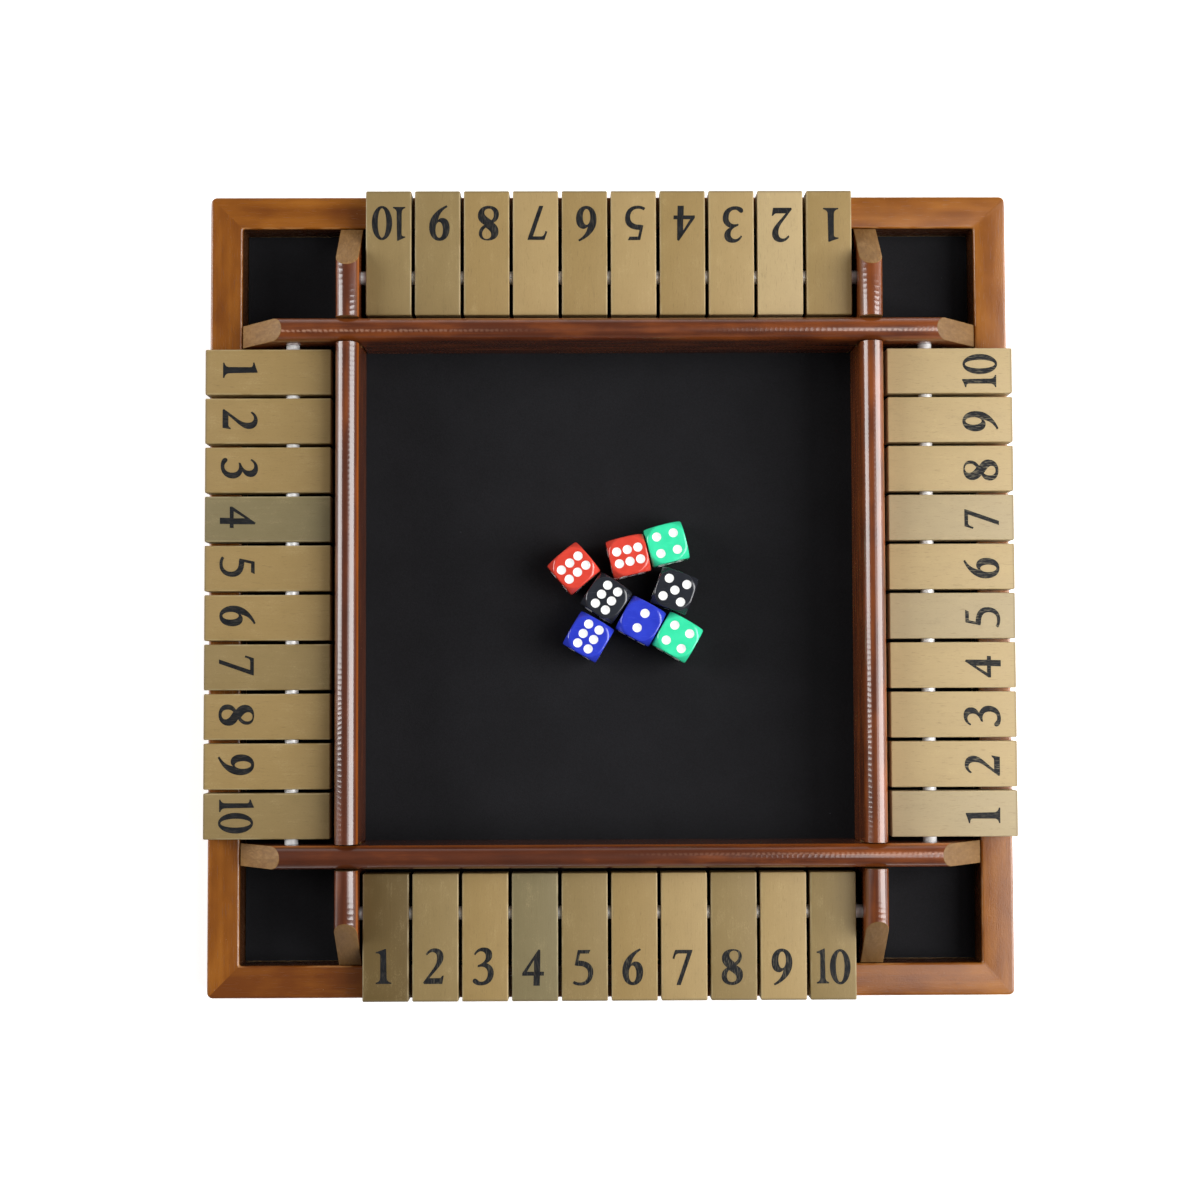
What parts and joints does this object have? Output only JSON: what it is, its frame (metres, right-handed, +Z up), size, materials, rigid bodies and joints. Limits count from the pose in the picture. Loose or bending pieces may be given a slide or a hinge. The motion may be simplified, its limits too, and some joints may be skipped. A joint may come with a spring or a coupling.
{
  "type": "shut the box game",
  "caption": "Square wooden dice game tray with felt floor, crossed round-topped rails, corner wells, flip-over number tiles on steel rods along each side, and loose dice.",
  "frame": {"origin": "middle of the board's underside, on the table", "axes": "+Z up, +X right and +Y away as the player at the front sees it; the front is the side whose numbers read upright in the picture"},
  "size_m": [0.3, 0.3, 0.0353],
  "materials": {
    "rim_wood": "reddish brown varnish, satin to gloss",
    "rail_wood": "dark red-brown varnish, gloss, bare tan wood on the bevelled ends",
    "tile_wood": "bare tan wood with a thin matt lacquer, black printed number",
    "base_wood": "raw thin board",
    "black_felt": "black felt, matt",
    "rod_steel": "bright drawn steel",
    "red_plastic": "opaque, polished, white pips",
    "green_plastic": "opaque, polished, white pips",
    "blue_plastic": "opaque, polished, white pips",
    "black_plastic": "opaque, polished, white pips"
  },
  "bodies": {
    "tray": {"rim_frame": "rim_wood", "base_board": "base_wood", "felt_lining": "black_felt", "rail_front": "rail_wood", "rail_left": "rail_wood", "rail_back": "rail_wood", "rail_right": "rail_wood", "rod_front": "rod_steel", "rod_left": "rod_steel", "rod_back": "rod_steel", "rod_right": "rod_steel"},
    "tile_front_01": {"tile_front_01": "tile_wood"},
    "tile_front_02": {"tile_front_02": "tile_wood"},
    "tile_front_03": {"tile_front_03": "tile_wood"},
    "tile_front_04": {"tile_front_04": "tile_wood"},
    "tile_front_05": {"tile_front_05": "tile_wood"},
    "tile_front_06": {"tile_front_06": "tile_wood"},
    "tile_front_07": {"tile_front_07": "tile_wood"},
    "tile_front_08": {"tile_front_08": "tile_wood"},
    "tile_front_09": {"tile_front_09": "tile_wood"},
    "tile_front_10": {"tile_front_10": "tile_wood"},
    "tile_left_01": {"tile_left_01": "tile_wood"},
    "tile_left_02": {"tile_left_02": "tile_wood"},
    "tile_left_03": {"tile_left_03": "tile_wood"},
    "tile_left_04": {"tile_left_04": "tile_wood"},
    "tile_left_05": {"tile_left_05": "tile_wood"},
    "tile_left_06": {"tile_left_06": "tile_wood"},
    "tile_left_07": {"tile_left_07": "tile_wood"},
    "tile_left_08": {"tile_left_08": "tile_wood"},
    "tile_left_09": {"tile_left_09": "tile_wood"},
    "tile_left_10": {"tile_left_10": "tile_wood"},
    "tile_back_01": {"tile_back_01": "tile_wood"},
    "tile_back_02": {"tile_back_02": "tile_wood"},
    "tile_back_03": {"tile_back_03": "tile_wood"},
    "tile_back_04": {"tile_back_04": "tile_wood"},
    "tile_back_05": {"tile_back_05": "tile_wood"},
    "tile_back_06": {"tile_back_06": "tile_wood"},
    "tile_back_07": {"tile_back_07": "tile_wood"},
    "tile_back_08": {"tile_back_08": "tile_wood"},
    "tile_back_09": {"tile_back_09": "tile_wood"},
    "tile_back_10": {"tile_back_10": "tile_wood"},
    "tile_right_01": {"tile_right_01": "tile_wood"},
    "tile_right_02": {"tile_right_02": "tile_wood"},
    "tile_right_03": {"tile_right_03": "tile_wood"},
    "tile_right_04": {"tile_right_04": "tile_wood"},
    "tile_right_05": {"tile_right_05": "tile_wood"},
    "tile_right_06": {"tile_right_06": "tile_wood"},
    "tile_right_07": {"tile_right_07": "tile_wood"},
    "tile_right_08": {"tile_right_08": "tile_wood"},
    "tile_right_09": {"tile_right_09": "tile_wood"},
    "tile_right_10": {"tile_right_10": "tile_wood"},
    "die_red_1": {"die_red_1": "red_plastic"},
    "die_red_2": {"die_red_2": "red_plastic"},
    "die_green_1": {"die_green_1": "green_plastic"},
    "die_green_2": {"die_green_2": "green_plastic"},
    "die_blue_1": {"die_blue_1": "blue_plastic"},
    "die_blue_2": {"die_blue_2": "blue_plastic"},
    "die_black_1": {"die_black_1": "black_plastic"},
    "die_black_2": {"die_black_2": "black_plastic"}
  },
  "joints": [
    {"name": "tile_front_01_flip", "type": "hinge", "parent": "tray", "child": "tile_front_01", "pos_m": [-0.08215, -0.11813, 0.0212], "axis": [-1, 0, 0], "range_deg": [0, 132.5]},
    {"name": "tile_front_02_flip", "type": "hinge", "parent": "tray", "child": "tile_front_02", "pos_m": [-0.06389, -0.11813, 0.0212], "axis": [-1, 0, 0], "range_deg": [0, 132.5]},
    {"name": "tile_front_03_flip", "type": "hinge", "parent": "tray", "child": "tile_front_03", "pos_m": [-0.04564, -0.11813, 0.0212], "axis": [-1, 0, 0], "range_deg": [0, 132.5]},
    {"name": "tile_front_04_flip", "type": "hinge", "parent": "tray", "child": "tile_front_04", "pos_m": [-0.02738, -0.11813, 0.0212], "axis": [-1, 0, 0], "range_deg": [0, 132.5]},
    {"name": "tile_front_05_flip", "type": "hinge", "parent": "tray", "child": "tile_front_05", "pos_m": [-0.00913, -0.11813, 0.0212], "axis": [-1, 0, 0], "range_deg": [0, 132.5]},
    {"name": "tile_front_06_flip", "type": "hinge", "parent": "tray", "child": "tile_front_06", "pos_m": [0.00913, -0.11813, 0.0212], "axis": [-1, 0, 0], "range_deg": [0, 132.5]},
    {"name": "tile_front_07_flip", "type": "hinge", "parent": "tray", "child": "tile_front_07", "pos_m": [0.02738, -0.11813, 0.0212], "axis": [-1, 0, 0], "range_deg": [0, 132.5]},
    {"name": "tile_front_08_flip", "type": "hinge", "parent": "tray", "child": "tile_front_08", "pos_m": [0.04564, -0.11813, 0.0212], "axis": [-1, 0, 0], "range_deg": [0, 132.5]},
    {"name": "tile_front_09_flip", "type": "hinge", "parent": "tray", "child": "tile_front_09", "pos_m": [0.06389, -0.11813, 0.0212], "axis": [-1, 0, 0], "range_deg": [0, 132.5]},
    {"name": "tile_front_10_flip", "type": "hinge", "parent": "tray", "child": "tile_front_10", "pos_m": [0.08215, -0.11813, 0.0212], "axis": [-1, 0, 0], "range_deg": [0, 132.5]},
    {"name": "tile_left_01_flip", "type": "hinge", "parent": "tray", "child": "tile_left_01", "pos_m": [-0.11813, 0.08215, 0.0212], "axis": [0, 1, 0], "range_deg": [0, 132.5]},
    {"name": "tile_left_02_flip", "type": "hinge", "parent": "tray", "child": "tile_left_02", "pos_m": [-0.11813, 0.06389, 0.0212], "axis": [0, 1, 0], "range_deg": [0, 132.5]},
    {"name": "tile_left_03_flip", "type": "hinge", "parent": "tray", "child": "tile_left_03", "pos_m": [-0.11813, 0.04564, 0.0212], "axis": [0, 1, 0], "range_deg": [0, 132.5]},
    {"name": "tile_left_04_flip", "type": "hinge", "parent": "tray", "child": "tile_left_04", "pos_m": [-0.11813, 0.02738, 0.0212], "axis": [0, 1, 0], "range_deg": [0, 132.5]},
    {"name": "tile_left_05_flip", "type": "hinge", "parent": "tray", "child": "tile_left_05", "pos_m": [-0.11813, 0.00913, 0.0212], "axis": [0, 1, 0], "range_deg": [0, 132.5]},
    {"name": "tile_left_06_flip", "type": "hinge", "parent": "tray", "child": "tile_left_06", "pos_m": [-0.11813, -0.00913, 0.0212], "axis": [0, 1, 0], "range_deg": [0, 132.5]},
    {"name": "tile_left_07_flip", "type": "hinge", "parent": "tray", "child": "tile_left_07", "pos_m": [-0.11813, -0.02738, 0.0212], "axis": [0, 1, 0], "range_deg": [0, 132.5]},
    {"name": "tile_left_08_flip", "type": "hinge", "parent": "tray", "child": "tile_left_08", "pos_m": [-0.11813, -0.04564, 0.0212], "axis": [0, 1, 0], "range_deg": [0, 132.5]},
    {"name": "tile_left_09_flip", "type": "hinge", "parent": "tray", "child": "tile_left_09", "pos_m": [-0.11813, -0.06389, 0.0212], "axis": [0, 1, 0], "range_deg": [0, 132.5]},
    {"name": "tile_left_10_flip", "type": "hinge", "parent": "tray", "child": "tile_left_10", "pos_m": [-0.11813, -0.08215, 0.0212], "axis": [0, 1, 0], "range_deg": [0, 132.5]},
    {"name": "tile_back_01_flip", "type": "hinge", "parent": "tray", "child": "tile_back_01", "pos_m": [0.08215, 0.11813, 0.0212], "axis": [1, 0, 0], "range_deg": [0, 132.5]},
    {"name": "tile_back_02_flip", "type": "hinge", "parent": "tray", "child": "tile_back_02", "pos_m": [0.06389, 0.11813, 0.0212], "axis": [1, 0, 0], "range_deg": [0, 132.5]},
    {"name": "tile_back_03_flip", "type": "hinge", "parent": "tray", "child": "tile_back_03", "pos_m": [0.04564, 0.11813, 0.0212], "axis": [1, 0, 0], "range_deg": [0, 132.5]},
    {"name": "tile_back_04_flip", "type": "hinge", "parent": "tray", "child": "tile_back_04", "pos_m": [0.02738, 0.11813, 0.0212], "axis": [1, 0, 0], "range_deg": [0, 132.5]},
    {"name": "tile_back_05_flip", "type": "hinge", "parent": "tray", "child": "tile_back_05", "pos_m": [0.00913, 0.11813, 0.0212], "axis": [1, 0, 0], "range_deg": [0, 132.5]},
    {"name": "tile_back_06_flip", "type": "hinge", "parent": "tray", "child": "tile_back_06", "pos_m": [-0.00913, 0.11813, 0.0212], "axis": [1, 0, 0], "range_deg": [0, 132.5]},
    {"name": "tile_back_07_flip", "type": "hinge", "parent": "tray", "child": "tile_back_07", "pos_m": [-0.02738, 0.11813, 0.0212], "axis": [1, 0, 0], "range_deg": [0, 132.5]},
    {"name": "tile_back_08_flip", "type": "hinge", "parent": "tray", "child": "tile_back_08", "pos_m": [-0.04564, 0.11813, 0.0212], "axis": [1, 0, 0], "range_deg": [0, 132.5]},
    {"name": "tile_back_09_flip", "type": "hinge", "parent": "tray", "child": "tile_back_09", "pos_m": [-0.06389, 0.11813, 0.0212], "axis": [1, 0, 0], "range_deg": [0, 132.5]},
    {"name": "tile_back_10_flip", "type": "hinge", "parent": "tray", "child": "tile_back_10", "pos_m": [-0.08215, 0.11813, 0.0212], "axis": [1, 0, 0], "range_deg": [0, 132.5]},
    {"name": "tile_right_01_flip", "type": "hinge", "parent": "tray", "child": "tile_right_01", "pos_m": [0.11813, -0.08215, 0.0212], "axis": [0, -1, 0], "range_deg": [0, 132.5]},
    {"name": "tile_right_02_flip", "type": "hinge", "parent": "tray", "child": "tile_right_02", "pos_m": [0.11813, -0.06389, 0.0212], "axis": [0, -1, 0], "range_deg": [0, 132.5]},
    {"name": "tile_right_03_flip", "type": "hinge", "parent": "tray", "child": "tile_right_03", "pos_m": [0.11813, -0.04564, 0.0212], "axis": [0, -1, 0], "range_deg": [0, 132.5]},
    {"name": "tile_right_04_flip", "type": "hinge", "parent": "tray", "child": "tile_right_04", "pos_m": [0.11813, -0.02738, 0.0212], "axis": [0, -1, 0], "range_deg": [0, 132.5]},
    {"name": "tile_right_05_flip", "type": "hinge", "parent": "tray", "child": "tile_right_05", "pos_m": [0.11813, -0.00913, 0.0212], "axis": [0, -1, 0], "range_deg": [0, 132.5]},
    {"name": "tile_right_06_flip", "type": "hinge", "parent": "tray", "child": "tile_right_06", "pos_m": [0.11813, 0.00913, 0.0212], "axis": [0, -1, 0], "range_deg": [0, 132.5]},
    {"name": "tile_right_07_flip", "type": "hinge", "parent": "tray", "child": "tile_right_07", "pos_m": [0.11813, 0.02738, 0.0212], "axis": [0, -1, 0], "range_deg": [0, 132.5]},
    {"name": "tile_right_08_flip", "type": "hinge", "parent": "tray", "child": "tile_right_08", "pos_m": [0.11813, 0.04564, 0.0212], "axis": [0, -1, 0], "range_deg": [0, 132.5]},
    {"name": "tile_right_09_flip", "type": "hinge", "parent": "tray", "child": "tile_right_09", "pos_m": [0.11813, 0.06389, 0.0212], "axis": [0, -1, 0], "range_deg": [0, 132.5]},
    {"name": "tile_right_10_flip", "type": "hinge", "parent": "tray", "child": "tile_right_10", "pos_m": [0.11813, 0.08215, 0.0212], "axis": [0, -1, 0], "range_deg": [0, 132.5]},
    {"name": "die_red_1_lift", "type": "slide", "parent": "tray", "child": "die_red_1", "axis": [0, 0, 1], "range_m": [0, 0.06]},
    {"name": "die_red_2_lift", "type": "slide", "parent": "tray", "child": "die_red_2", "axis": [0, 0, 1], "range_m": [0, 0.06]},
    {"name": "die_green_1_lift", "type": "slide", "parent": "tray", "child": "die_green_1", "axis": [0, 0, 1], "range_m": [0, 0.06]},
    {"name": "die_green_2_lift", "type": "slide", "parent": "tray", "child": "die_green_2", "axis": [0, 0, 1], "range_m": [0, 0.06]},
    {"name": "die_blue_1_lift", "type": "slide", "parent": "tray", "child": "die_blue_1", "axis": [0, 0, 1], "range_m": [0, 0.06]},
    {"name": "die_blue_2_lift", "type": "slide", "parent": "tray", "child": "die_blue_2", "axis": [0, 0, 1], "range_m": [0, 0.06]},
    {"name": "die_black_1_lift", "type": "slide", "parent": "tray", "child": "die_black_1", "axis": [0, 0, 1], "range_m": [0, 0.06]},
    {"name": "die_black_2_lift", "type": "slide", "parent": "tray", "child": "die_black_2", "axis": [0, 0, 1], "range_m": [0, 0.06]}
  ]
}
